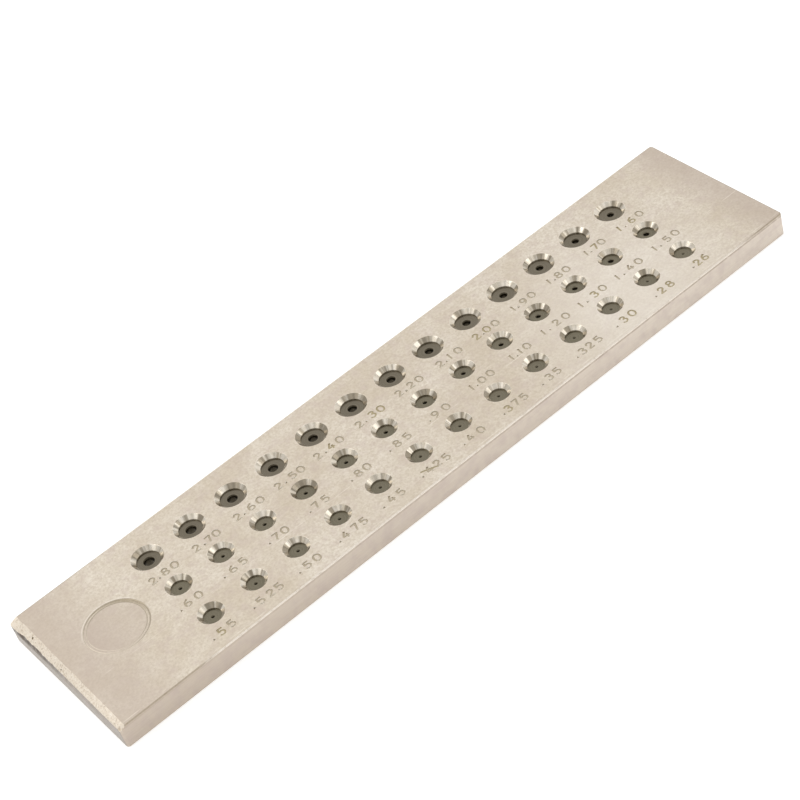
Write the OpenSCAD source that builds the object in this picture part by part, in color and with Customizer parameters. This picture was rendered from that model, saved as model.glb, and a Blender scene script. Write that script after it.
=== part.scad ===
// Jeweller's wire drawplate: a flat steel bar that holds 39 pressed-in carbide dies.
// The bar lies on its back with the numbered face up. X runs along the rows of dies,
// +Y points to the row of large dies, and the origin is under the middle of the bar.

/* [Bar] */
// From the left end, where the seal is, to the first column of dies
left_margin = 40; // [30:1:60]
// From the last column of dies to the right end
right_margin = 30; // [15:1:60]
// From the back edge to the row of large dies
back_margin = 12.4; // [9:0.1:20]
// From the front row of dies to the front edge
front_margin = 13; // [9:0.1:20]
// Thickness of the bar
bar_t = 8; // [7:0.1:12]
// Radius of the four upright corners
corner_r = 1; // [0.5:0.1:4]
// Width of the broken edge round both faces
edge_break = 0.35; // [0.1:0.05:0.8]
// How far the bevel of the left end reaches along the back edge
bevel_run_back = 2.6; // [1:0.1:5]
// How far the same bevel reaches along the front edge
bevel_run_front = 1.9; // [1:0.1:5]
// Slope of that bevel, down from the numbered face
bevel_slope = 37; // [20:1:60]

/* [Grid of dies] */
// Distance between columns
col_pitch = 15; // [13:0.5:20]
// Distance between rows
row_pitch = 15.8; // [13:0.1:20]

/* [Bores] */
// Bores of the back row, from the left end
back_bores = [2.8, 2.7, 2.6, 2.5, 2.4, 2.3, 2.2, 2.1, 2.0, 1.9, 1.8, 1.7, 1.6]; // [0.2:0.005:3]
// Bores of the middle row, from the left end
middle_bores = [0.6, 0.65, 0.7, 0.75, 0.8, 0.85, 0.9, 1.0, 1.1, 1.2, 1.3, 1.4, 1.5]; // [0.2:0.005:3]
// Bores of the front row, from the left end
front_bores = [0.55, 0.525, 0.5, 0.475, 0.45, 0.425, 0.4, 0.375, 0.35, 0.325, 0.3, 0.28, 0.26]; // [0.2:0.005:3]

/* [Seats] */
// Full angle of the countersinks in the numbered face
sink_angle = 95; // [80:1:120]
// Depth of the countersinks
sink_depth = 1.2; // [0.6:0.05:1.6]
// Height of the lip that each die is pushed up against
lip_h = 0.4; // [0.15:0.05:0.6]
// Draft of the lip, from upright
lip_draft = 8; // [3:1:20]
// Opening in the lip over a large die
large_window = 7.1; // [6:0.1:7.6]
// Opening in the lip over a small die
small_window = 5.3; // [4.5:0.1:5.8]
// Full angle of the cones in the back of the bar
back_angle = 80; // [50:1:90]
// Radial clearance between a die and its pocket, none for a press fit
pocket_clearance = 0; // [0:0.005:0.02]

/* [Dies] */
// Outside diameter of a large die
large_d = 8; // [7.8:0.1:10]
// Outside diameter of a small die
small_d = 6; // [5.8:0.1:8]
// Height of every die
die_h = 4.4; // [3.6:0.1:5.5]
// Broken edge of a die
die_break = 0.25; // [0.1:0.05:0.5]
// Depth of the relief where the wire leaves
relief_depth = 0.35; // [0.2:0.05:1.1]
// Full angle of the relief
relief_angle = 75; // [60:1:100]
// Length of the bearing as a share of the bore
bearing_share = 0.45; // [0.3:0.05:0.6]
// Least length of the bearing
bearing_min = 0.4; // [0.2:0.05:0.8]
// Full angle of the approach that reduces the wire
approach_angle = 16; // [8:1:24]
// Depth of the bell where the wire enters
bell_depth = 1.2; // [0.6:0.1:1.6]
// Full angle of the bell
bell_angle = 60; // [40:1:80]

/* [Seal] */
// Diameter of the stamped double ring
seal_d = 19.6; // [12:0.1:22]
// From the left end to the middle of the ring
seal_from_end = 19.8; // [16:0.1:26]
// From the middle of the bar to the middle of the ring, towards the back edge
seal_offset = 2; // [-4:0.1:4]
// Width of each of its two grooves at the face
seal_groove = 0.5; // [0.3:0.05:0.8]
// From the outside of the outer groove to the outside of the inner one
seal_gap = 1; // [0.9:0.1:2]

/* [Hidden] */
$fn = 96;
// How far a cutter runs past the face that it opens
over = 0.5;
rows = [back_bores, middle_bores, front_bores];
row_names = ["back", "middle", "front"];
columns = len(back_bores);
bar_l = left_margin + (columns - 1) * col_pitch + right_margin;
bar_w = back_margin + (len(rows) - 1) * row_pitch + front_margin;
face_z = bar_t - sink_depth - lip_h;
pocket_z = face_z - die_h;

function die_node(row, col) = str("die_", row_names[row], "_", col < 9 ? "0" : "", col + 1);
function die_x(col) = -bar_l / 2 + left_margin + col * col_pitch;
function die_y(row) = bar_w / 2 - back_margin - row * row_pitch;
function die_r(row) = (row == 0 ? large_d : small_d) / 2;
function window_r(row) = (row == 0 ? large_window : small_window) / 2;

// The bar seen from above, with its corners rounded
module plan() {
    square([bar_l - 2 * corner_r, bar_w], center = true);
    square([bar_l, bar_w - 2 * corner_r], center = true);
    for (x = [-1, 1], y = [-1, 1])
        translate([x * (bar_l / 2 - corner_r), y * (bar_w / 2 - corner_r)])
            circle(corner_r);
}

// A rectangle standing on the X axis with its four corners broken
module broken_section(width, height) {
    half = width / 2;
    polygon([
        [-half + edge_break, 0], [half - edge_break, 0],
        [half, edge_break], [half, height - edge_break],
        [half - edge_break, height], [-half + edge_break, height],
        [-half, height - edge_break], [-half, edge_break]
    ]);
}

// What the bevel takes off the left end. It starts at the back edge and runs to the
// front one, where it is narrower.
module end_bevel() {
    taper = atan((bevel_run_back - bevel_run_front) / bar_w);
    reach = bevel_run_back + corner_r + over;
    translate([-bar_l / 2 + bevel_run_back, bar_w / 2, bar_t])
        rotate([0, 0, -taper])
            translate([0, over, 0])
                rotate([90, 0, 0])
                    linear_extrude(bar_w + 3 * over)
                        polygon([
                            [0, 0],
                            [over, over],
                            [-reach, over],
                            [-reach, -reach * tan(bevel_slope)]
                        ]);
}

// The bar without its holes: what the plan and the two sections share, less the bevel
module bar() {
    difference() {
        intersection() {
            linear_extrude(bar_t)
                plan();
            translate([0, bar_w / 2 + over, 0])
                rotate([90, 0, 0])
                    linear_extrude(bar_w + 2 * over)
                        broken_section(bar_l, bar_t);
            translate([-bar_l / 2 - over, 0, 0])
                rotate([90, 0, 90])
                    linear_extrude(bar_l + 2 * over)
                        broken_section(bar_w, bar_t);
        }
        end_bevel();
    }
}

// The stepped hole for one die: back cone, pocket, shoulder, lip and countersink
module seat(row) {
    pocket_r = die_r(row) + pocket_clearance;
    lip_top_r = window_r(row) + lip_h * tan(lip_draft);
    back_slope = tan(back_angle / 2);
    sink_slope = tan(sink_angle / 2);
    rotate_extrude()
        polygon([
            [0, -over],
            [pocket_r + (pocket_z + over) * back_slope, -over],
            [pocket_r, pocket_z],
            [pocket_r, face_z],
            [window_r(row), face_z],
            [lip_top_r, face_z + lip_h],
            [lip_top_r + (sink_depth + over) * sink_slope, bar_t + over],
            [0, bar_t + over]
        ]);
}

// The two V-shaped grooves of the stamped ring
module seal_rings() {
    depth = seal_groove / 2;
    translate([-bar_l / 2 + seal_from_end, seal_offset, bar_t - depth])
        rotate_extrude()
            for (outer_r = [seal_d / 2, seal_d / 2 - seal_gap])
                polygon([
                    [outer_r - depth, 0],
                    [outer_r + over, depth + over],
                    [outer_r - 2 * depth - over, depth + over]
                ]);
}

module plate() {
    color([0.82, 0.78, 0.72])
        difference() {
            bar();
            for (row = [0 : 2], col = [0 : columns - 1])
                translate([die_x(col), die_y(row), 0])
                    seat(row);
            seal_rings();
        }
}

// One die, its face level with the underside of the lip. The wire enters at the bell,
// is reduced in the approach, sized in the bearing and leaves through the relief.
module die(row, col) {
    bore_r = rows[row][col] / 2;
    outer_r = die_r(row);
    bearing = max(bearing_min, 2 * bore_r * bearing_share);
    approach = die_h - bell_depth - bearing - relief_depth;
    throat_r = bore_r + approach * tan(approach_angle / 2);
    bell_r = throat_r + bell_depth * tan(bell_angle / 2);
    exit_r = bore_r + relief_depth * tan(relief_angle / 2);
    color([0.36, 0.35, 0.32])
        translate([die_x(col), die_y(row), pocket_z])
            rotate_extrude()
                polygon([
                    [bell_r, 0],
                    [outer_r - die_break, 0],
                    [outer_r, die_break],
                    [outer_r, die_h - die_break],
                    [outer_r - die_break, die_h],
                    [exit_r, die_h],
                    [bore_r, die_h - relief_depth],
                    [bore_r, bell_depth + approach],
                    [throat_r, bell_depth]
                ]);
}

plate();
for (row = [0 : 2], col = [0 : columns - 1])
    die(row, col);
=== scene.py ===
import math
import random

import bmesh
import bpy
from mathutils import Matrix, Vector, noise


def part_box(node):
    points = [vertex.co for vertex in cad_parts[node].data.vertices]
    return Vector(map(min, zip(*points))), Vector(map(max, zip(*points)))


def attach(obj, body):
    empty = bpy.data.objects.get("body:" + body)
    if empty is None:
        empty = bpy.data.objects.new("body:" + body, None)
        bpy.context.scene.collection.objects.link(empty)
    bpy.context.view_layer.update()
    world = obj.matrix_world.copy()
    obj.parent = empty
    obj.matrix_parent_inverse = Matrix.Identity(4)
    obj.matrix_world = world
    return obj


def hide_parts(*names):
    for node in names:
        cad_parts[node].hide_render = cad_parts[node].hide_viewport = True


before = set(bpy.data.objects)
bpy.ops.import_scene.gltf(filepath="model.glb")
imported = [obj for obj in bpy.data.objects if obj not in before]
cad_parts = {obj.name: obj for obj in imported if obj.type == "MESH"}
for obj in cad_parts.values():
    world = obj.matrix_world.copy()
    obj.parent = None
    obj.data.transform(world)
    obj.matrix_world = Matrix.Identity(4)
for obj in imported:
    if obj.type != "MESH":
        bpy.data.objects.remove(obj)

scene = bpy.context.scene
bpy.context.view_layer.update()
mm = 0.001
tiny = 1e-6  # metres: points nearer than this are one point
onCut = 1e-7  # metres: corners this near a cut count as on it


# small helpers

def linear(hexColour):  # an sRGB hex value as linear light
    parts = [int(hexColour[i:i + 2], 16) / 255 for i in (1, 3, 5)]
    return tuple(c / 12.92 if c <= 0.04045 else ((c + 0.055) / 1.055) ** 2.4 for c in parts) + (1.0,)


def add(tree, kind, inputs=None, **settings):  # adds a node, then sets its inputs or links them
    made = tree.nodes.new("ShaderNode" + kind)
    for key, value in settings.items():
        setattr(made, key, value)
    for key, value in (inputs or {}).items():
        if isinstance(value, bpy.types.Node):  # a node stands for its first output in use
            value = next(socket for socket in value.outputs if socket.enabled)
        if isinstance(value, bpy.types.NodeSocket):
            tree.links.new(value, made.inputs[key])
        else:
            made.inputs[key].default_value = value
    return made


def direction(azimuth, elevation):  # azimuth 0 is towards the viewer at -Y, 90 is towards +X
    a, e = math.radians(azimuth), math.radians(elevation)
    return Vector((math.sin(a) * math.cos(e), -math.cos(a) * math.cos(e), math.sin(e)))


def makeObject(name, bm, materials=()):
    mesh = bpy.data.meshes.new(name)
    bm.to_mesh(mesh)
    bm.free()
    for material in materials:
        mesh.materials.append(material)
    made = bpy.data.objects.new(name, mesh)
    scene.collection.objects.link(made)
    return made


def spun(profile, steps, closed=False, roundings=None):
    # turns a half profile of (radius, height) in millimetres about Z into a solid
    bm = bmesh.new()
    verts = [bm.verts.new((r * mm, 0, z * mm)) for r, z in profile]
    pairs = list(zip(verts, verts[1:])) + ([(verts[-1], verts[0])] if closed else [])
    for pair in pairs:
        bm.edges.new(pair)
    for index, radius in sorted((roundings or {}).items()):
        bmesh.ops.bevel(bm, geom=[verts[index]], affect="VERTICES", offset=radius * mm,
                        offset_type="OFFSET", segments=4, profile=0.5, material=-1)
    bmesh.ops.spin(bm, geom=bm.verts[:] + bm.edges[:], cent=(0, 0, 0), axis=(0, 0, 1),
                   angle=2 * math.pi, steps=steps, use_merge=True)
    bmesh.ops.remove_doubles(bm, verts=bm.verts, dist=tiny)
    bmesh.ops.recalc_face_normals(bm, faces=bm.faces)
    return bm


def half(angle):  # how far a cone of this full angle opens for each millimetre of its height
    return math.tan(math.radians(angle / 2))


def share(value, start, end):  # 0 up to the start and 1 from the end on
    return min(1.0, max(0.0, (value - start) / (end - start)))


def isFlat(f):  # square to an axis
    return max(abs(c) for c in f.normal) > 0.99999


def shadeSmoothly(bm, crease=33):  # degrees; the flat faces keep their sharp borders
    for f in bm.faces:
        f.smooth = True
    for e in bm.edges:
        faces = e.link_faces
        e.smooth = not (len(faces) == 2 and (isFlat(faces[0]) != isFlat(faces[1])
                                             or e.calc_face_angle(0) > math.radians(crease)))


# camera and light

cameraLook = {
    "place": (-0.213505, -0.406027, 0.425291),
    "turn": (46.59676, 13.24063, -39.67284),  # degrees
    "lens": 97.128, "sensor": 36.0,
    "clipStart": 0.01,
}
cameraData = bpy.data.cameras.new("camera")
cameraData.lens = cameraLook["lens"]
cameraData.sensor_width = cameraLook["sensor"]
cameraData.clip_start = cameraLook["clipStart"]
camera = bpy.data.objects.new("camera", cameraData)
camera.location = cameraLook["place"]
camera.rotation_euler = [math.radians(a) for a in cameraLook["turn"]]
scene.collection.objects.link(camera)
scene.camera = camera

# azimuth, elevation, width and height as seen from the bar, all in degrees, then the
# brightness that each adds to the even light of the room
softboxes = {
    "rightSoftbox": (54, 37, 26, 22, 0.92),
    "rightScrim": (20, 47, 20, 26, 0.3),
    "leftSoftbox": (-99, 41, 21, 24, 0.45),
    "leftScrim": (-54, 51, 15, 22, 0.26),
    "sideCard": (93, 15, 32, 24, 0.3),
    "backLeftPanel": (-140, 52, 40, 26, 1.15),
    "backPanel": (150, 42, 60, 40, 0.46),
    "topPanel": (0, 90, 44, 44, 0.35),
}
roomBrightness = 0.62
lampDistance = 1.4
for name, (azimuth, elevation, width, height, radiance) in softboxes.items():
    lampData = bpy.data.lights.new(name, "AREA")
    lampData.shape = "RECTANGLE"
    lampData.size = 2 * lampDistance * math.tan(math.radians(width / 2))
    lampData.size_y = 2 * lampDistance * math.tan(math.radians(height / 2))
    lampData.energy = math.pi * lampData.size * lampData.size_y * radiance
    lamp = bpy.data.objects.new(name, lampData)
    lamp.location = direction(azimuth, elevation) * lampDistance
    lamp.rotation_euler = (-direction(azimuth, elevation)).to_track_quat("-Z", "Y").to_euler()
    scene.collection.objects.link(lamp)

world = bpy.data.worlds.new("studio")
scene.world = world
world.use_nodes = True
background = world.node_tree.nodes["Background"]
background.inputs["Color"].default_value = (1, 1, 1, 1)
background.inputs["Strength"].default_value = roomBrightness

scene.view_settings.view_transform = "Standard"
print("camera and lamps ready")


# floor

floorLook = {
    "size": 6,
    "white": (0.86, 0.86, 0.86, 1), "lift": 0.51,  # the lift makes it pure white in the picture
}


def paintedFloor():  # matt white board: shows only the soft shadow
    material = bpy.data.materials.new("paintedFloor")
    material.use_nodes = True
    tree = material.node_tree
    tree.nodes.clear()
    path = add(tree, "LightPath")
    seen = path.outputs["Is Camera Ray"]
    for ray in ("Is Glossy Ray", "Is Transmission Ray"):
        seen = add(tree, "Math", {0: seen, 1: path.outputs[ray]}, operation="MAXIMUM")
    lift = add(tree, "Math", {0: seen, 1: floorLook["lift"]}, operation="MULTIPLY")
    board = add(tree, "BsdfDiffuse", {"Color": floorLook["white"]})
    glow = add(tree, "Emission", {"Color": (1, 1, 1, 1), "Strength": lift})
    add(tree, "OutputMaterial", {"Surface": add(tree, "AddShader", {0: board, 1: glow})})
    return material


bm = bmesh.new()
bmesh.ops.create_grid(bm, x_segments=1, y_segments=1, size=floorLook["size"])
floor = makeObject("floor", bm, [paintedFloor()])


# materials

# places that several finishes share, in millimetres: the middle seat of the first column with
# the distances between columns and rows, and the middle of the stamped ring
seatGrid = {"x": -85.0, "y": 0.3, "columns": 15.0, "rows": 15.8}
ringMiddle = (-105.2, 2.0)


def startMaterial(name):
    material = bpy.data.materials.new(name)
    material.use_nodes = True
    tree = material.node_tree
    tree.nodes.clear()
    return material, tree, add(tree, "TexCoord").outputs["Object"]


def metalSurface(tree, colour, roughness, height, lift, metallic=1.0):
    # the lift is how high the relief stands, in millimetres
    bump = add(tree, "Bump", {"Height": height, "Distance": lift * mm, "Strength": 1.0})
    shader = add(tree, "BsdfPrincipled", {"Base Color": colour, "Metallic": metallic,
                                          "Roughness": roughness, "Normal": bump})
    add(tree, "OutputMaterial", {"Surface": shader})


def roundSeat(tree, place):
    # where a point lies from the grid, from the seat nearest to it and from the axis of that seat
    origin = (-seatGrid["x"] * mm, -seatGrid["y"] * mm, 0)
    centred = add(tree, "VectorMath", {0: place, 1: origin}, operation="ADD")
    halfCell = (seatGrid["columns"] / 2 * mm, seatGrid["rows"] / 2 * mm, 1)
    cell = add(tree, "VectorMath", {0: centred, 1: halfCell, 2: tuple(-c for c in halfCell)},
               operation="WRAP")
    return centred, cell, add(tree, "VectorMath", {0: cell, 1: (1, 1, 0)}, operation="MULTIPLY")


def groundFace(name):
    # tool steel, surface ground and then rubbed on fine paper: a warm satin sheen, faintly
    # mottled, with hair lines along the bar and the odd scratch from use
    material, tree, place = startMaterial(name)
    # the real hair lines are a few hundredths of a millimetre wide, and drawn wider so they show
    lengthwise = add(tree, "Mapping", {"Vector": place,
                                       "Scale": tuple(1 / (s * mm) for s in (22, 0.3, 0.3))})
    hair = add(tree, "TexNoise", {"Vector": lengthwise, "Scale": 1.0, "Detail": 3.0})
    mottle = add(tree, "TexNoise", {"Vector": place, "Scale": 1 / (0.75 * mm),
                                    "Detail": 4.0, "Roughness": 0.7})
    cloud = add(tree, "TexNoise", {"Vector": place, "Scale": 1 / (17 * mm),
                                   "Detail": 3.0, "Roughness": 0.6})
    blotch = add(tree, "TexNoise", {"Vector": place, "Scale": 1 / (3.4 * mm),
                                    "Detail": 3.0, "Roughness": 0.6})
    slanted = add(tree, "Mapping", {"Vector": place, "Rotation": (0, 0, math.radians(31)),
                                    "Scale": tuple(1 / (s * mm) for s in (11, 0.22, 0.22))})
    scratch = add(tree, "TexNoise", {"Vector": slanted, "Scale": 1.0, "Detail": 1.0})
    tone = add(tree, "Mix", {0: add(tree, "MapRange", {0: cloud, 1: 0.35, 2: 0.65}),
                             6: linear("#E9E0D2"), 7: linear("#D9CDBB")}, data_type="RGBA")
    tone = add(tree, "Mix", {0: add(tree, "MapRange", {0: mottle, 1: 0.34, 2: 0.68, 3: 0.0, 4: 0.68}),
                             6: tone, 7: linear("#C4B6A1")}, data_type="RGBA")
    tone = add(tree, "Mix", {0: add(tree, "MapRange", {0: blotch, 1: 0.47, 2: 0.66, 3: 0.0, 4: 0.4}),
                             6: tone, 7: linear("#CBBBB0")}, data_type="RGBA")
    tone = add(tree, "Mix", {0: add(tree, "MapRange", {0: hair, 1: 0.5, 2: 0.8, 3: 0.0, 4: 0.15}),
                             6: tone, 7: linear("#CDBFAB")}, data_type="RGBA")
    tone = add(tree, "Mix", {0: add(tree, "MapRange", {0: scratch, 1: 0.7, 2: 0.78, 3: 0.0, 4: 0.28}),
                             6: tone, 7: linear("#EFE6D8")}, data_type="RGBA")
    # both bare ends have been gripped in a vice: a shade darker and pinker
    along = add(tree, "SeparateXYZ", {0: place})
    leftEnd = add(tree, "MapRange", {0: along.outputs[0], 1: -0.1, 2: -0.117, 3: 0.0, 4: 0.6})
    rightEnd = add(tree, "MapRange", {0: along.outputs[0], 1: 0.112, 2: 0.121, 3: 0.0, 4: 0.65})
    gripped = add(tree, "Math", {0: leftEnd, 1: rightEnd}, operation="ADD")
    # and the blow that struck the ring left its inside a little duller
    middle = (ringMiddle[0] * mm, ringMiddle[1] * mm, 8 * mm)
    away = add(tree, "VectorMath", {0: place, 1: middle}, operation="DISTANCE").outputs["Value"]
    under = add(tree, "MapRange", {0: along.outputs[2], 1: 4 * mm, 2: 2 * mm, 3: 0.0, 4: 50 * mm})
    away = add(tree, "Math", {0: away, 1: under}, operation="ADD")  # none of it shows on the back
    inside = add(tree, "MapRange", {0: away, 1: 9.8 * mm, 2: 8.4 * mm, 3: 0.0, 4: 0.4})
    gripped = add(tree, "Math", {0: gripped, 1: inside}, operation="ADD")
    tone = add(tree, "Mix", {0: gripped, 6: tone, 7: linear("#C3B4A6")}, data_type="RGBA")
    # and a painted highlight draws a thin bright line round its back half only, for the burr that it threw
    # up
    burrHighlight = add(tree, "Math", {0: away, 1: 9.95 * mm}, operation="SUBTRACT")
    burrHighlight = add(tree, "Math", {0: burrHighlight}, operation="ABSOLUTE")
    burrHighlight = add(tree, "MapRange", {0: burrHighlight, 1: 0.28 * mm, 2: 0.12 * mm})
    upper = add(tree, "MapRange", {0: along.outputs[1], 1: 2 * mm, 2: 9 * mm, 3: 0.0, 4: 0.4})
    tone = add(tree, "Mix", {0: add(tree, "Math", {0: burrHighlight, 1: upper}, operation="MULTIPLY"),
                             6: tone, 7: linear("#F8F0E4")}, data_type="RGBA")
    # the top is painted palest towards the front corner at the right
    corner = (0.07, -0.018, 0.008)
    away = add(tree, "VectorMath", {0: place, 1: corner}, operation="DISTANCE").outputs["Value"]
    paleShare = add(tree, "MapRange", {0: away, 1: 42 * mm, 2: 10 * mm, 3: 0.0, 4: 0.5})
    tone = add(tree, "Mix", {0: paleShare, 6: tone, 7: linear("#EDE5DA")}, data_type="RGBA")
    # two layout lines, scribed before the seats were bored and mostly rubbed away since
    patchy = add(tree, "TexNoise", {"Vector": place, "Scale": 1 / (5 * mm), "Detail": 2.0})
    patchy = add(tree, "MapRange", {0: patchy, 1: 0.45, 2: 0.65, 3: 0.0, 4: 0.45})
    for at in (-9.6, -27.3):
        away = add(tree, "Math", {0: along.outputs[1], 1: at * mm}, operation="SUBTRACT")
        away = add(tree, "Math", {0: away}, operation="ABSOLUTE")
        line = add(tree, "MapRange", {0: away, 1: 0.2 * mm, 2: 0.05 * mm})
        line = add(tree, "Math", {0: line, 1: patchy}, operation="MULTIPLY")
        tone = add(tree, "Mix", {0: line, 6: tone, 7: linear("#F6EEE2")}, data_type="RGBA")
    height = add(tree, "Math", {0: mottle, 1: 0.7, 2: hair}, operation="MULTIPLY_ADD")
    gloss = add(tree, "MapRange", {0: mottle, 1: 0.3, 2: 0.7, 3: 0.34, 4: 0.46})
    metalSurface(tree, tone, gloss, height, 0.004)
    return material


def milledSide(name, lightEnd, darkEnd, groove, line):
    # the same steel as it left the mill, only rubbed by hand: pinkish grey brush lines, with painted light
    # making it paler towards the right, and a ragged dark line of painted shade under the upper edge
    material, tree, place = startMaterial(name)
    lengthwise = add(tree, "Mapping", {"Vector": place, "Scale": tuple(1 / (s * mm) for s in groove)})
    brush = add(tree, "TexNoise", {"Vector": lengthwise, "Scale": 1.0, "Detail": 4.0, "Roughness": 0.6})
    mottle = add(tree, "TexNoise", {"Vector": place, "Scale": 1 / (1.1 * mm), "Detail": 3.0})
    blotch = add(tree, "TexNoise", {"Vector": place, "Scale": 1 / (4 * mm),
                                    "Detail": 3.0, "Roughness": 0.6})
    along = add(tree, "SeparateXYZ", {0: place})
    # painted light: darker at the left end and paler towards the right
    tone = add(tree, "Mix", {0: add(tree, "MapRange", {0: along.outputs[0], 1: -0.125, 2: 0.08}),
                             6: linear(darkEnd), 7: linear(lightEnd)}, data_type="RGBA")
    worn = add(tree, "Mix", {0: add(tree, "MapRange", {0: brush, 1: 0.3, 2: 0.7, 3: 0.0, 4: 0.4}),
                             6: (1, 1, 1, 1), 7: linear("#E2DAD0")}, data_type="RGBA")
    tone = add(tree, "Mix", {0: 1.0, 6: tone, 7: worn}, data_type="RGBA", blend_type="MULTIPLY")
    tone = add(tree, "Mix", {0: add(tree, "MapRange", {0: blotch, 1: 0.42, 2: 0.66, 3: 0.0, 4: 0.4}),
                             6: tone, 7: linear("#B5A6A0")}, data_type="RGBA")
    # painted shade: a dark line under the upper edge
    level = add(tree, "Math", {0: along.outputs[1], 1: line["tilt"], 2: along.outputs[2]},
                operation="MULTIPLY_ADD")
    away = add(tree, "Math", {0: level, 1: line["height"] * mm}, operation="SUBTRACT")
    away = add(tree, "Math", {0: away}, operation="ABSOLUTE")
    inLine = add(tree, "MapRange", {0: away, 1: line["width"] * mm, 2: line["width"] * 0.3 * mm})
    ragged = add(tree, "MapRange", {0: mottle, 1: 0.3, 2: 0.5, 3: 0.4, 4: 1.0})
    strength = add(tree, "MapRange", {0: along.outputs[line["axis"]], 1: line["weakest"] * mm,
                                      2: line["strongest"] * mm, 3: line["least"], 4: line["most"]})
    strength = add(tree, "Math", {0: ragged, 1: strength}, operation="MULTIPLY")
    inLine = add(tree, "Math", {0: inLine, 1: strength}, operation="MULTIPLY")
    tone = add(tree, "Mix", {0: inLine, 6: tone, 7: linear(line["colour"])}, data_type="RGBA")
    height = add(tree, "Math", {0: mottle, 1: 0.3, 2: brush}, operation="MULTIPLY_ADD")
    gloss = add(tree, "MapRange", {0: mottle, 1: 0.3, 2: 0.7, 3: 0.3, 4: 0.42})
    metalSurface(tree, tone, gloss, height, 0.004)
    return material


def wornEdge(name):
    # the edges, broken with a file and then worn by handling: the upper ones painted bright between the
    # gripped ends, partly wear and partly a painted highlight, with dark specks where they are nicked
    material, tree, place = startMaterial(name)
    nick = add(tree, "TexNoise", {"Vector": place, "Scale": 1 / (0.8 * mm),
                                  "Detail": 3.0, "Roughness": 0.65})
    patch = add(tree, "TexNoise", {"Vector": place, "Scale": 1 / (7 * mm), "Detail": 2.0})
    along = add(tree, "SeparateXYZ", {0: place})
    paleShare = 1.0
    for axis, none, full in ((0, -99, -91), (0, 114, 104), (2, 3, 5)):
        part = add(tree, "MapRange", {0: along.outputs[axis], 1: none * mm, 2: full * mm})
        paleShare = add(tree, "Math", {0: paleShare, 1: part}, operation="MULTIPLY")
    # painted highlight, partly wear: the pale tone on the upper edges
    tone = add(tree, "Mix", {0: paleShare, 6: linear("#BDAF9C"), 7: linear("#F6EDE0")}, data_type="RGBA")
    tone = add(tree, "Mix", {0: add(tree, "MapRange", {0: nick, 1: 0.52, 2: 0.68, 3: 0.0, 4: 0.3}),
                             6: tone, 7: linear("#A4957E")}, data_type="RGBA")
    tone = add(tree, "Mix", {0: add(tree, "MapRange", {0: patch, 1: 0.5, 2: 0.7, 3: 0.0, 4: 0.2}),
                             6: tone, 7: linear("#C9BBA7")}, data_type="RGBA")
    gloss = add(tree, "MapRange", {0: nick, 1: 0.3, 2: 0.7, 3: 0.38, 4: 0.58})
    metalSurface(tree, tone, gloss, nick, 0.03)
    return material


def lappedSink(name, grimeAndShadeTop):
    # the countersinks, cut and lapped with a cone: nearly a mirror with rings and a few radial
    # streaks, hazed by lapping paste, and darker from the corner above the die downwards, partly grime and
    # partly painted shade
    material, tree, place = startMaterial(name)
    centred, cell, flat = roundSeat(tree, place)
    radius = add(tree, "VectorMath", {0: flat}, operation="LENGTH").outputs["Value"]
    # the real rings are finer, and drawn coarser so they show
    rings = add(tree, "TexNoise", {"W": radius, "Scale": 1 / (0.16 * mm),
                                   "Detail": 2.0}, noise_dimensions="1D")
    outward = add(tree, "VectorMath", {0: flat}, operation="NORMALIZE")
    # each seat has its own streaks
    seat = add(tree, "VectorMath", {0: centred, 1: cell}, operation="SUBTRACT")
    seat = add(tree, "VectorMath", {0: seat, 1: (217, 343, 0)}, operation="MULTIPLY")
    turned = add(tree, "VectorMath", {0: outward, 1: (1.5, 1.5, 1.5), 2: seat}, operation="MULTIPLY_ADD")
    streaks = add(tree, "TexNoise", {"Vector": turned, "Scale": 1.0, "Detail": 3.0, "Roughness": 0.5})
    smear = add(tree, "TexNoise", {"Vector": place, "Scale": 1 / (1.3 * mm), "Detail": 2.0})
    tone = add(tree, "Mix", {0: add(tree, "MapRange", {0: smear, 1: 0.35, 2: 0.65}),
                             6: linear("#F4EBDC"), 7: linear("#E6DBC8")}, data_type="RGBA")
    tone = add(tree, "Mix", {0: add(tree, "MapRange", {0: streaks, 1: 0.46, 2: 0.56, 3: 0.0, 4: 0.78}),
                             6: tone, 7: linear("#8A7D67")}, data_type="RGBA")
    height = add(tree, "SeparateXYZ", {0: place}).outputs[2]
    # painted shade, partly grime: darker from just above the die's lip downwards
    grimeAndShade = add(tree, "MapRange", {0: height, 1: (grimeAndShadeTop + 0.12) * mm, 2: (grimeAndShadeTop - 0.05) * mm,
                                   3: 0.0, 4: 0.55})
    tone = add(tree, "Mix", {0: grimeAndShade, 6: tone, 7: linear("#857B65")}, data_type="RGBA")
    gloss = add(tree, "MapRange", {0: rings, 1: 0.3, 2: 0.7, 3: 0.13, 4: 0.2})
    metalSurface(tree, tone, gloss, rings, 0.0015, metallic=0.74)
    return material


def stampedMark(name, shallow, deep, roughness, rimHeight, floorHeight):  # heights in millimetres
    # struck with punches after grinding: paler at the sides, partly burnishing and partly a painted
    # highlight, and darker the deeper the punch went, partly oil and dirt left behind and partly painted
    # shade
    material, tree, place = startMaterial(name)
    height = add(tree, "SeparateXYZ", {0: place}).outputs[2]
    fleck = add(tree, "TexNoise", {"Vector": place, "Scale": 1 / (0.4 * mm), "Detail": 2.0})
    ragged = add(tree, "Math", {0: fleck, 1: 0.12 * mm, 2: height}, operation="MULTIPLY_ADD")
    # painted highlight at the shallow sides and painted shade towards the floor, partly burnishing and dirt
    tone = add(tree, "Mix", {0: add(tree, "MapRange", {0: ragged, 1: rimHeight * mm, 2: floorHeight * mm}),
                             6: linear(shallow), 7: linear(deep)}, data_type="RGBA")
    gloss = add(tree, "MapRange", {0: fleck, 1: 0.3, 2: 0.7, 3: roughness - 0.06, 4: roughness + 0.06})
    metalSurface(tree, tone, gloss, fleck, 0.006)
    return material


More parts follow.
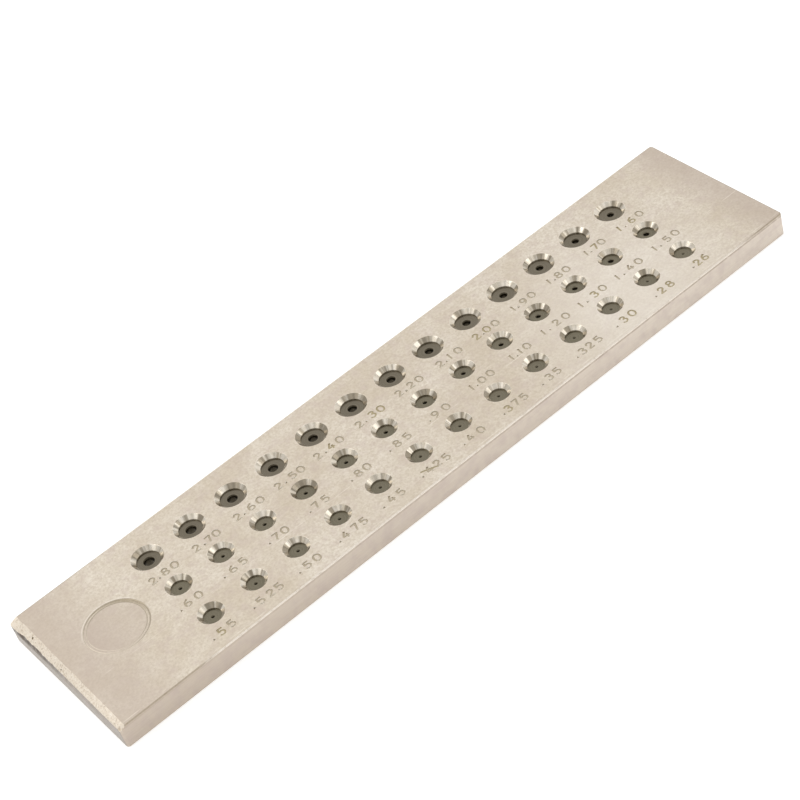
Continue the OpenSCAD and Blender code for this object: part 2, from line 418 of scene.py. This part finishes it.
def filedBevel(name):
    # the end is broken back with a coarse wheel: bright, torn and speckled
    material, tree, place = startMaterial(name)
    torn = add(tree, "TexNoise", {"Vector": place, "Scale": 1 / (0.8 * mm),
                                  "Detail": 5.0, "Roughness": 0.7})
    fine = add(tree, "TexNoise", {"Vector": place, "Scale": 1 / (0.6 * mm),
                                  "Detail": 3.0, "Roughness": 0.65})
    tone = add(tree, "Mix", {0: add(tree, "MapRange", {0: torn, 1: 0.35, 2: 0.65}),
                             6: linear("#FFF6E8"), 7: linear("#EFE2D0")}, data_type="RGBA")
    tone = add(tree, "Mix", {0: add(tree, "MapRange", {0: fine, 1: 0.52, 2: 0.68, 3: 0.0, 4: 0.5}),
                             6: tone, 7: linear("#B09E87")}, data_type="RGBA")
    gloss = add(tree, "MapRange", {0: fine, 1: 0.3, 2: 0.7, 3: 0.5, 4: 0.7})
    metalSurface(tree, tone, gloss, torn, 0.06)
    return material


def lappedDie(name, pale, deep):
    # tungsten carbide, pressed, sintered and lapped: a dark warm grey with faint lapping rings
    material, tree, place = startMaterial(name)
    flat = roundSeat(tree, place)[2]
    radius = add(tree, "VectorMath", {0: flat}, operation="LENGTH").outputs["Value"]
    # the real rings and grains are far finer, and drawn coarser so they show
    rings = add(tree, "TexNoise", {"W": radius, "Scale": 1 / (0.3 * mm),
                                   "Detail": 2.0}, noise_dimensions="1D")
    speck = add(tree, "TexNoise", {"Vector": place, "Scale": 1 / (0.25 * mm), "Detail": 2.0})
    tone = add(tree, "Mix", {0: add(tree, "MapRange", {0: rings, 1: 0.3, 2: 0.7}),
                             6: linear(pale), 7: linear(deep)}, data_type="RGBA")
    tone = add(tree, "Mix", {0: add(tree, "MapRange", {0: speck, 1: 0.5, 2: 0.75, 3: 0.0, 4: 0.4}),
                             6: tone, 7: linear("#5A5347")}, data_type="RGBA")
    gloss = add(tree, "MapRange", {0: rings, 1: 0.3, 2: 0.7, 3: 0.24, 4: 0.34})
    metalSurface(tree, tone, gloss, rings, 0.0012)
    return material


def polishedBore(name):
    # the working surfaces, polished with diamond and left oily by the wire: nearly black, partly the oil
    # and partly painted shade, as little light comes out of a bore
    material, tree, place = startMaterial(name)
    oil = add(tree, "TexNoise", {"Vector": place, "Scale": 1 / (0.4 * mm), "Detail": 2.0})
    tone = add(tree, "Mix", {0: add(tree, "MapRange", {0: oil, 1: 0.35, 2: 0.65}),
                             6: linear("#5A5345"), 7: linear("#4A4438")}, data_type="RGBA")
    gloss = add(tree, "MapRange", {0: oil, 1: 0.3, 2: 0.7, 3: 0.2, 4: 0.32})
    metalSurface(tree, tone, gloss, oil, 0.001)
    return material


faceSteel = groundFace("groundToolSteel")
# on the side, the paler right is painted light and the dark line under the top edge is painted shade
sideSteel = milledSide("milledToolSteel", "#D5CBBF", "#C4B8AA", (18, 0.5, 0.35),
                       {"colour": "#958573", "height": 7.25, "tilt": 0, "width": 0.36,
                        "axis": 0, "weakest": -90, "strongest": 60, "least": 0.2, "most": 0.65})
# the end is a darker grey than the sides, and its dark line is a painted shadow under the foot of the bevel
endSteel = milledSide("sawnToolSteel", "#A29A8F", "#A39B90", (0.5, 6, 0.5),
                      {"colour": "#4F4234", "height": 5.9, "tilt": 0.02, "width": 1.3,
                       "axis": 1, "weakest": -2, "strongest": 12, "least": 0.15, "most": 0.95})
edgeSteel = wornEdge("wornToolSteel")
bevelSteel = filedBevel("filedToolSteel")
seatSteel = lappedSink("lappedToolSteel", 6.8)
markSteel = stampedMark("stampedToolSteel", "#FFFAF0", "#B1A590", 0.28, 8.04, 7.968)
stainSteel = stampedMark("stainedToolSteel", "#F8F0DA", "#AB9E81", 0.3, 8.04, 7.968)
ringSteel = stampedMark("pressedToolSteel", "#D8CCBB", "#ADA08B", 0.4, 8.04, 7.93)
largeCarbide = lappedDie("coarseLappedCarbide", "#7D7567", "#6D6658")
smallCarbide = lappedDie("fineLappedCarbide", "#7D7666", "#6F6959")
boreCarbide = polishedBore("polishedCarbide")
barMaterials = [faceSteel, sideSteel, endSteel, edgeSteel, bevelSteel, seatSteel, markSteel, stainSteel,
                ringSteel]
faceSlot, sideSlot, endSlot, edgeSlot, bevelSlot, seatSlot, markSlot, stainSlot, ringSlot = range(9)
print("materials ready")


# the bar, without its holes

barLook = {
    "cornerRadius": 1.0, "sharpCorner": 0.4, "edgeBreak": 0.35,  # the back left corner is the sharp one
    "bevelRunBack": 2.6, "bevelRunFront": 1.9, "bevelSlope": 37.0,  # left end
    "outOfSquare": 0.8,  # how far the right end falls back towards the front edge
    "bevelStep": 0.45, "slopeCuts": (0.6, 1.2, 1.8, 2.4),  # along the end, down the slope
    "tornTop": 0.12, "tornFoot": 0.2, "tornFace": 0.045, "grain": (0.8, 2.0),
    "waves": ((6.0, 3.1, 1.0), (1.3, 9.7, 0.5)),  # length, start and share of each in the torn edges
    "footRise": 0.9, "footFrom": 2.8, "footTo": -28.5,  # the foot climbs towards the front
    "tipRise": 0.8, "tipFrom": 23, "tipTo": 28.5,  # and at the back corner
    "tuck": 0.5, "tuckBelow": 4.4, "tuckTorn": 0.6,  # the end leans in under the bevel
    "tuckBack": (27, 22), "tuckFront": (-27, -20),  # where that begins and is full
    "grid": 2.6, "gridShift": 0.013,  # the largest face of the blank
}
barLow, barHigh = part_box("plate")
barSize = barHigh - barLow
bm = bmesh.new()
bmesh.ops.create_cube(bm, size=1)
bmesh.ops.scale(bm, vec=barSize, verts=bm.verts)
bmesh.ops.translate(bm, vec=(barLow + barHigh) / 2, verts=bm.verts)
upright = [e for e in bm.edges if abs(e.verts[0].co.z - e.verts[1].co.z) > mm]
sharp = [e for e in upright if e.verts[0].co.x < 0 < e.verts[0].co.y]
bmesh.ops.bevel(bm, geom=sharp, affect="EDGES", offset=barLook["sharpCorner"] * mm, offset_type="OFFSET",
                segments=4, profile=0.5, material=-1)
upright = [e for e in upright if e.is_valid and e not in sharp]
bmesh.ops.bevel(bm, geom=upright, affect="EDGES", offset=barLook["cornerRadius"] * mm, offset_type="OFFSET",
                segments=4, profile=0.5, material=-1)
around = [e for e in bm.edges if abs(e.verts[0].co.z - e.verts[1].co.z) < onCut]
bmesh.ops.bevel(bm, geom=around, affect="EDGES", offset=barLook["edgeBreak"] * mm, offset_type="OFFSET",
                segments=2, profile=0.5, material=-1)
for f in bm.faces:  # by the way that each one faces
    f.material_index = (faceSlot if abs(f.normal.z) > 0.99 else edgeSlot if abs(f.normal.z) > 0.1
                        else endSlot if f.normal.x < -0.9 else sideSlot)
for v in bm.verts:
    if v.co.x > 0:
        v.co.x -= barLook["outOfSquare"] * mm * (0.5 - v.co.y / barSize.y)

taper = math.atan((barLook["bevelRunBack"] - barLook["bevelRunFront"]) * mm / barSize.y)
slope = math.radians(barLook["bevelSlope"])
bevelNormal = Matrix.Rotation(-taper, 3, "Z") @ Vector((-math.sin(slope), 0, math.cos(slope)))
bevelStart = Vector((barLow.x + barLook["bevelRunBack"] * mm, barHigh.y, barHigh.z))
cut = bmesh.ops.bisect_plane(bm, geom=bm.verts[:] + bm.edges[:] + bm.faces[:], dist=onCut,
                             plane_co=bevelStart, plane_no=bevelNormal, clear_outer=True)
rim = [e for e in cut["geom_cut"] if isinstance(e, bmesh.types.BMEdge)]
filled = bmesh.ops.edgenet_fill(bm, edges=rim, mat_nr=bevelSlot)["faces"]
for f in filled:
    f.material_index = bevelSlot


def sliceEnd(point, normal):
    # cuts only the bevel and the end below it, so the faces beside them stay whole
    faces = [f for f in bm.faces if f.material_index in (bevelSlot, endSlot)]
    geom = set(faces) | {e for f in faces for e in f.edges} | {v for f in faces for v in f.verts}
    bmesh.ops.bisect_plane(bm, geom=list(geom), dist=onCut, plane_co=point, plane_no=normal)


cuts = round(barSize.y / (barLook["bevelStep"] * mm))
sliceEnd((0, 0, barLook["tuckBelow"] * mm), (0, 0, 1))
for i in range(1, cuts):
    sliceEnd((0, barLow.y + barSize.y * i / cuts, 0), (0, 1, 0))
downSlope = Matrix.Rotation(-taper, 3, "Z") @ Vector((-math.cos(slope), 0, -math.sin(slope)))
for reach in barLook["slopeCuts"]:
    sliceEnd(bevelStart + downSlope * reach * mm, downSlope)

# tear the bevel a little: its foot wanders up and down the end, its top along the face
for v in {v for f in bm.faces if f.material_index == bevelSlot for v in f.verts}:
    y = v.co.y / mm
    v.co.z += barLook["tipRise"] * share(y, barLook["tipFrom"], barLook["tipTo"]) * (barHigh.z - v.co.z) / 2
    if abs(y) > barSize.y / mm / 2 - barLook["cornerRadius"]:
        continue
    wander = sum(part * noise.noise(Vector((start, y / length, 0)))
                 for length, start, part in barLook["waves"])
    towardsFront = share(y, barLook["footFrom"], barLook["footTo"])
    if v.co.z > barHigh.z - tiny:
        v.co.x += barLook["tornTop"] * mm * wander
    elif v.co.x < barLow.x + tiny:
        v.co.z += barLook["tornFoot"] * mm * wander + barLook["footRise"] * mm * towardsFront
        v.co.x += (barLook["tuck"] * mm * share(y, *barLook["tuckBack"]) * share(y, *barLook["tuckFront"])
                   * (1 + barLook["tuckTorn"] * wander))
    else:
        low = (barHigh.z - v.co.z) / (2 * mm)
        rough = sum(noise.noise(v.co / (size * mm)) for size in barLook["grain"])
        v.co += bevelNormal * barLook["tornFace"] * mm * rough
        v.co.z += barLook["footRise"] * mm * towardsFront * min(1.0, low)


def gridCuts(low, high, axis):
    # a plain grid over the whole bar keeps every face small, so the holes cut cleanly
    count = round((high - low) / (barLook["grid"] * mm))
    for i in range(1, count):
        at = low + (high - low) * (i + barLook["gridShift"]) / count
        bmesh.ops.bisect_plane(bm, geom=bm.verts[:] + bm.edges[:] + bm.faces[:], dist=onCut,
                               plane_co=axis * at, plane_no=axis)


gridCuts(barLow.x, barHigh.x, Vector((1, 0, 0)))
gridCuts(barLow.y, barHigh.y, Vector((0, 1, 0)))
bar = makeObject("drawplateBar", bm, barMaterials)
print("bar ready")


# cutters for the seats

seatLook = {
    "windowBig": 7.1, "windowSmall": 5.3,  # opening in the lip, diameters
    "lip": 0.4, "lipDraft": 8.0, "sinkAngle": 95.0, "backAngle": 80.0,
    "rimRounding": 0.05, "steps": 88,
    "past": 0.5,  # how far a cutter runs past the face that it opens
}


def dieNodes():
    return sorted(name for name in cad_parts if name.startswith("die_"))


def dieRoom(node):  # centre, radius, underside and face of a die, in millimetres
    low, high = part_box(node)
    middle = (low + high) / 2
    return middle.x / mm, middle.y / mm, (high.x - low.x) / 2 / mm, low.z / mm, high.z / mm


barTop, barBottom = barHigh.z / mm, barLow.z / mm
bm = bmesh.new()
for node in dieNodes():
    x, y, radius, under, face = dieRoom(node)
    window = (seatLook["windowBig"] if "back" in node else seatLook["windowSmall"]) / 2
    lipTop = window + seatLook["lip"] * math.tan(math.radians(seatLook["lipDraft"]))
    opening = half(seatLook["sinkAngle"])
    backSlope = half(seatLook["backAngle"])
    depth = barTop - face - seatLook["lip"]
    r = seatLook["rimRounding"]
    mouth = lipTop + depth * opening - r
    past = seatLook["past"]
    # the cone in the back, the pocket, the lip, then the countersink with its rounded rim
    seat = spun([
        (0, barBottom - past), (radius + (under + past) * backSlope, barBottom - past),
        (radius, under), (radius, face), (window, face), (lipTop, face + seatLook["lip"]),
        (mouth - r * 1.2, barTop - r * 1.2 / opening), (mouth - r * 0.35, barTop - r * 0.42),
        (mouth + r * 0.35, barTop - r * 0.1), (mouth + r * 1.3, barTop),
        (mouth + r * 1.3, barTop + past), (0, barTop + past)], seatLook["steps"])
    bmesh.ops.translate(seat, vec=(x * mm, y * mm, 0), verts=seat.verts)
    scratch = bpy.data.meshes.new("scratch")
    seat.to_mesh(scratch)
    seat.free()
    bm.from_mesh(scratch)
    bpy.data.meshes.remove(scratch)
for f in bm.faces:
    f.material_index = seatSlot
seatCutter = makeObject("seatCutter", bm, barMaterials)


# cutters for a few pits in the bevel

pitLook = {"places": ((18.3, 1.2), (2.5, 1.9), (-12.0, 0.8)),  # along the end, down the slope
           "radii": (0.36, 0.3, 0.2)}
pits = bmesh.new()
for (along, down), radius in zip(pitLook["places"], pitLook["radii"]):
    at = Vector((bevelStart.x, along * mm, bevelStart.z)) + downSlope * down * mm
    bmesh.ops.create_icosphere(pits, subdivisions=2, radius=radius * mm, matrix=Matrix.Translation(at))
for f in pits.faces:
    f.material_index = stainSlot
pitCutter = makeObject("pitCutter", pits, barMaterials)


# cutters for the stamped ring

# the two grooves of the stamp, then the shallow dish that its rim left on the deep side: the
# diameter, the radius of the tool, the depth and how much of it fades
ringLook = {
    "parts": {"outerGroove": (19.0, 0.42, 0.17, 0.13), "innerGroove": (17.3, 0.42, 0.14, 0.11),
              "rimDish": (18.1, 2.4, 0.13, 0.3)},
    "towards": 38.0, "steps": 96, "grooveSegments": 10, "dishSegments": 48,
}
ringCutters = []
for part, (diameter, tool, depth, fade) in ringLook["parts"].items():
    ring = bmesh.new()
    segments = ringLook["dishSegments" if part == "rimDish" else "grooveSegments"]
    bmesh.ops.create_circle(ring, segments=segments, radius=tool * mm)
    bmesh.ops.rotate(ring, cent=(0, 0, 0), matrix=Matrix.Rotation(math.pi / 2, 3, "X"), verts=ring.verts)
    bmesh.ops.translate(ring, vec=(diameter / 2 * mm, 0, 0), verts=ring.verts)
    bmesh.ops.spin(ring, geom=ring.verts[:] + ring.edges[:], cent=(0, 0, 0), axis=(0, 0, 1),
                   angle=2 * math.pi, steps=ringLook["steps"], use_merge=True)
    bmesh.ops.recalc_face_normals(ring, faces=ring.faces)
    # the stamp was held at a slant, so the ring is deep on one side and fades on the other
    lean = math.atan(fade / diameter)
    deepSide = math.radians(ringLook["towards"])
    axis = Vector((-math.sin(deepSide), math.cos(deepSide), 0))
    bmesh.ops.rotate(ring, cent=(0, 0, 0), matrix=Matrix.Rotation(lean, 3, axis), verts=ring.verts)
    lift = barTop + tool - depth + fade / 2
    bmesh.ops.translate(ring, vec=(ringMiddle[0] * mm, ringMiddle[1] * mm, lift * mm), verts=ring.verts)
    for f in ring.faces:
        f.material_index = ringSlot
    ringCutters.append(makeObject(part, ring, barMaterials))


# cutters for the stamped sizes

# strokes of each figure in a box one wide and one high: those struck first, then those that
# cross them or share an end with them
figures = {
    "0": ([[(0, .5), (.5, 0), (0, -.5), (-.5, 0), "loop"]], []),
    "1": ([[(.07, .5), (-.07, -.5)]], []),
    "2": ([[(-.42, .25), (0, .5), (.42, .22), (.1, -.1), (-.45, -.5)]], [[(-.5, -.47), (.5, -.47)]]),
    "3": ([[(-.4, .36), (0, .5), (.38, .28), (.02, .05)]],
          [[(-.05, .07), (.3, 0), (.45, -.22), (0, -.5), (-.45, -.34)]]),
    "4": ([[(.1, .5), (-.5, -.18)], [(.2, .12), (.14, -.5)]], [[(-.55, -.18), (.5, -.18)]]),
    "5": ([[(-.36, .48), (.42, .48)], [(-.36, .03), (.08, .12), (.45, -.18), (.02, -.5), (-.45, -.36)]],
          [[(-.3, .52), (-.37, 0)]]),
    "6": ([[(0, .06), (.45, -.22), (0, -.5), (-.45, -.22), "loop"]],
          [[(.3, .5), (-.25, .25), (-.45, -.15)]]),
    "7": ([[(-.45, .47), (.5, .47)]], [[(.45, .5), (-.12, -.5)]]),
    "8": ([[(0, .5), (.36, .26), (0, .02), (-.36, .26), "loop"]],
          [[(0, .02), (.45, -.24), (0, -.5), (-.45, -.24), "loop"]]),
    "9": ([[(0, .5), (.42, .2), (0, -.08), (-.42, .2), "loop"]], [[(.42, .15), (.2, -.25), (-.3, -.5)]]),
}
labelRows = {
    "back": ["2.80", "2.70", "2.60", "2.50", "2.40", "2.30", "2.20", "2.10", "2.00", "1.90", "1.80",
             "1.70", "1.60"],
    "middle": [".60", ".65", ".70", ".75", ".80", ".85", ".90", "1.00", "1.10", "1.20", "1.30", "1.40",
               "1.50"],
    "front": [".55", ".525", ".50", ".475", ".45", ".425", ".40", ".375", ".35", ".325", ".30", ".28",
              ".26"],
}
# where each size was struck, in millimetres from its die: how far above the row's usual
# line, then every figure and dot along the row
struckAt = {
    "2.80": (0.0, -4.1, -2.0, 0.35, 3.5), "2.70": (-0.1, -3.8, -1.2, 0.65, 3.4),
    "2.60": (0.1, -4.0, -1.9, 0.9, 4.3), "2.50": (0.0, -4.15, -1.7, 1.15, 4.15),
    "2.40": (0.1, -4.5, -1.8, 0.65, 3.8), "2.30": (0.2, -3.8, -1.5, 1.25, 4.4),
    "2.20": (0.4, -3.2, -1.0, 1.3, 4.5), "2.10": (0.1, -2.6, -0.5, 1.3, 4.5),
    "2.00": (-0.1, -3.25, -0.9, 0.9, 4.2), "1.90": (0.0, -3.3, -1.8, 0.8, 4.1),
    "1.80": (0.0, -3.7, -1.95, 0.15, 3.35), "1.70": (0.15, -3.05, -1.6, 0.6, 3.35),
    "1.60": (0.0, -4.35, -2.15, 0.7, 4.2),
    ".60": (0.2, -5.0, -2.35, 1.5), ".65": (0.1, -4.9, -1.6, 1.95), ".70": (-0.1, -4.1, -1.4, 1.8),
    ".75": (0.0, -4.3, -1.85, 1.55), ".80": (-0.05, -4.1, -1.25, 1.95), ".85": (0.0, -4.8, -1.7, 1.95),
    ".90": (-0.1, -4.8, -2.2, 1.8), "1.00": (-0.3, -3.45, -1.65, 0.6, 3.9),
    "1.10": (-0.55, -2.9, -1.25, 0.5, 3.2), "1.20": (-0.3, -5.0, -2.75, 0.2, 3.95),
    "1.30": (-0.55, -5.1, -2.85, 0.5, 3.9), "1.40": (-0.75, -5.2, -2.9, 0.25, 3.6),
    "1.50": (-0.7, -4.55, -2.4, 0.7, 4.2),
    ".55": (0.2, -5.0, -2.0, 1.4), ".525": (0.2, -6.05, -3.4, 0.0, 2.95), ".50": (0.2, -5.1, -2.1, 1.3),
    ".475": (0.25, -5.85, -3.3, 0.15, 3.1), ".45": (0.3, -4.95, -1.5, 1.8),
    ".425": (0.3, -5.45, -2.4, 0.5, 3.6), ".40": (0.35, -4.7, -1.9, 1.9),
    ".375": (0.3, -4.7, -2.55, 0.4, 3.35), ".35": (0.15, -4.8, -1.7, 1.4),
    ".325": (0.15, -6.0, -3.55, -0.6, 2.65), ".30": (0.15, -5.15, -2.0, 1.45),
    ".28": (0.1, -4.25, -1.55, 1.9), ".26": (0.1, -3.75, -1.6, 1.4),
}
stainedFigures = {"2.40": (2,), "2.30": (2, 3), "2.00": (0, 2), "1.70": (2,), "1.60": (0, 2), ".30": (1, 2),
                  ".28": (1, 2), ".26": (1, 2), ".375": (1,), ".55": (1,), "1.30": (2,)}
labelLook = {
    "below": {"back": 8.7, "middle": 7.85, "front": 7.85},
    "height": 2.6, "width": 1.95, "punch": 0.45, "proud": 0.27, "lean": 1.6,
    "dot": 1.2, "dotTip": 0.02, "dotDepth": 0.3, "dotBelow": 0.75, "dotTurn": 9,
    "unevenX": 0.06, "unevenY": 0.1, "unevenTurn": 4.0, "seed": 7,
    "slip": (".425", [(-4.9, 1.2), (-2.6, 0.3), (-0.2, -0.8)]),  # one punch bounced and was struck again
}


def strokeCurve(name):
    data = bpy.data.curves.new(name, "CURVE")
    data.dimensions = "3D"
    data.bevel_depth = labelLook["punch"] * mm
    data.bevel_resolution = 1
    for material in barMaterials:
        data.materials.append(material)
    data.resolution_u = 5
    data.use_fill_caps = True
    return data


def addStroke(data, points, place, slot):
    loop = points[-1] == "loop"
    points = points[:-1] if loop else points
    spline = data.splines.new("BEZIER")
    spline.material_index = slot
    spline.bezier_points.add(len(points) - 1)
    for knot, point in zip(spline.bezier_points, points):
        knot.co = place @ Vector((point[0], point[1], 0))
        knot.handle_left_type = knot.handle_right_type = "AUTO"
    spline.use_cyclic_u = loop


def asCutter(data, name):
    curve = bpy.data.objects.new(name, data)
    scene.collection.objects.link(curve)
    bpy.context.view_layer.update()
    mesh = bpy.data.meshes.new_from_object(curve.evaluated_get(bpy.context.evaluated_depsgraph_get()))
    bpy.data.objects.remove(curve)
    bm = bmesh.new()
    bm.from_mesh(mesh)
    bpy.data.meshes.remove(mesh)
    bmesh.ops.remove_doubles(bm, verts=bm.verts, dist=tiny)
    bmesh.ops.recalc_face_normals(bm, faces=bm.faces)
    for f in bm.faces:
        if f.material_index != stainSlot:
            f.material_index = markSlot
    return makeObject(name, bm, barMaterials)


uneven = random.Random(labelLook["seed"])
strokeKinds = ("firstStrokes", "crossStrokes", "slipStroke")
firstStrokes, crossStrokes, slipStroke = (strokeCurve(name) for name in strokeKinds)
dots = bmesh.new()
for row, texts in labelRows.items():
    for column, text in enumerate(texts):
        x, y = dieRoom(f"die_{row}_{column + 1:02d}")[:2]
        above, *places = struckAt[text]
        middle = Vector((x, y - labelLook["below"][row] + above, barTop + labelLook["proud"])) * mm
        for index, (character, across) in enumerate(zip(text, places)):
            dx = uneven.uniform(-1, 1) * labelLook["unevenX"]
            dy = uneven.uniform(-1, 1) * labelLook["unevenY"]
            turn = uneven.uniform(-1, 1) * math.radians(labelLook["unevenTurn"])
            at = middle + Vector((across + dx, dy, 0)) * mm
            if character == ".":
                # a three-sided point, upside down, that goes on above the face
                deep = labelLook["dotDepth"]
                at = Vector((at.x, at.y - labelLook["dotBelow"] * mm, (barTop + deep) * mm))
                turned = Matrix.Rotation(turn * labelLook["dotTurn"], 4, "Z")
                bmesh.ops.create_cone(dots, cap_ends=True, segments=3, radius1=labelLook["dotTip"] * mm,
                                      radius2=2 * labelLook["dot"] * mm, depth=4 * deep * mm,
                                      matrix=Matrix.Translation(at) @ turned)
                continue
            # the punch leans away from the striker, so the head of each figure goes deeper
            place = (Matrix.Translation(at) @ Matrix.Rotation(turn, 4, "Z")
                     @ Matrix.Rotation(math.radians(-labelLook["lean"]), 4, "X")
                     @ Matrix.Diagonal((labelLook["width"] * mm, labelLook["height"] * mm, 1, 1)))
            slot = stainSlot if index in stainedFigures.get(text, ()) else markSlot
            first, crossing = figures[character]
            for stroke in first:
                addStroke(firstStrokes, stroke, place, slot)
            for stroke in crossing:
                addStroke(crossStrokes, stroke, place, slot)
        if text == labelLook["slip"][0]:
            addStroke(slipStroke, labelLook["slip"][1],
                      Matrix.Translation(middle) @ Matrix.Diagonal((mm, mm, 1, 1)), stainSlot)
bmesh.ops.recalc_face_normals(dots, faces=dots.faces)
for f in dots.faces:
    f.material_index = markSlot
dotCutter = makeObject("dotCutter", dots, barMaterials)
strokes = (firstStrokes, crossStrokes, slipStroke)
markCutters = [asCutter(data, name) for data, name in zip(strokes, strokeKinds)] + [dotCutter]


# cut the bar

def volume(obj):
    bm = bmesh.new()
    bm.from_mesh(obj.data)
    size = bm.calc_volume()
    bm.free()
    return size


def carve(target, cutter):
    before = volume(target)
    modifier = target.modifiers.new("carve", "BOOLEAN")
    modifier.operation = "DIFFERENCE"
    modifier.solver = "MANIFOLD"
    modifier.object = cutter
    bpy.context.view_layer.update()
    mesh = bpy.data.meshes.new_from_object(target.evaluated_get(bpy.context.evaluated_depsgraph_get()))
    target.modifiers.clear()
    target.data = mesh
    bpy.data.objects.remove(cutter)
    print("carved", round((before - volume(target)) * 1e9, 2), "cubic mm,", len(mesh.polygons), "faces")


for cutter in [seatCutter, pitCutter] + ringCutters + markCutters:
    carve(bar, cutter)

bm = bmesh.new()
bm.from_mesh(bar.data)
bmesh.ops.remove_doubles(bm, verts=bm.verts, dist=tiny / 5)
shadeSmoothly(bm)
print("open edges", sum(1 for e in bm.edges if len(e.link_faces) != 2))
bm.to_mesh(bar.data)
bm.free()
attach(bar, "root")
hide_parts("plate")
print("bar cut")


# carbide dies

dieLook = {
    "edgeBreak": 0.25, "reliefDepth": 0.35, "reliefAngle": 75.0, "bearingShare": 0.45, "bearingLeast": 0.4,
    "approachAngle": 16.0, "bellDepth": 1.2, "bellAngle": 60.0, "steps": 64,
    "roundings": {0: 0.2, 5: 0.07, 6: 0.1, 8: 0.4},  # radius at the points of the profile, by their order
}
for row, texts in labelRows.items():
    for column, text in enumerate(texts):
        node = f"die_{row}_{column + 1:02d}"
        x, y, radius, under, face = dieRoom(node)
        bore = float(text) / 2
        tall = face - under
        bearing = max(dieLook["bearingLeast"], 2 * bore * dieLook["bearingShare"])
        approach = tall - dieLook["bellDepth"] - bearing - dieLook["reliefDepth"]
        throat = bore + approach * half(dieLook["approachAngle"])
        bell = throat + dieLook["bellDepth"] * half(dieLook["bellAngle"])
        leave = bore + dieLook["reliefDepth"] * half(dieLook["reliefAngle"])
        edge = dieLook["edgeBreak"]
        die = spun([
            (bell, 0), (radius - edge, 0), (radius, edge), (radius, tall - edge), (radius - edge, tall),
            (leave, tall), (bore, tall - dieLook["reliefDepth"]), (bore, dieLook["bellDepth"] + approach),
            (throat, dieLook["bellDepth"])], dieLook["steps"], closed=True,
            roundings=dieLook["roundings"])
        bmesh.ops.translate(die, vec=(x * mm, y * mm, under * mm), verts=die.verts)
        shadeSmoothly(die)
        for f in die.faces:  # the bore is polished, but a small die's relief is left as lapped
            middle = f.calc_center_median() / mm - Vector((x, y, under))
            inside = middle.xy.length < bell + dieLook["roundings"][0] and not isFlat(f)
            deepEnough = row == "back" or middle.z < tall - dieLook["reliefDepth"]
            f.material_index = 1 if inside and deepEnough else 0
        piece = makeObject(f"carbideDie{row.capitalize()}{column + 1:02d}", die,
                           [largeCarbide if row == "back" else smallCarbide, boreCarbide])
        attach(piece, "root")
        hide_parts(node)
print("dies ready")
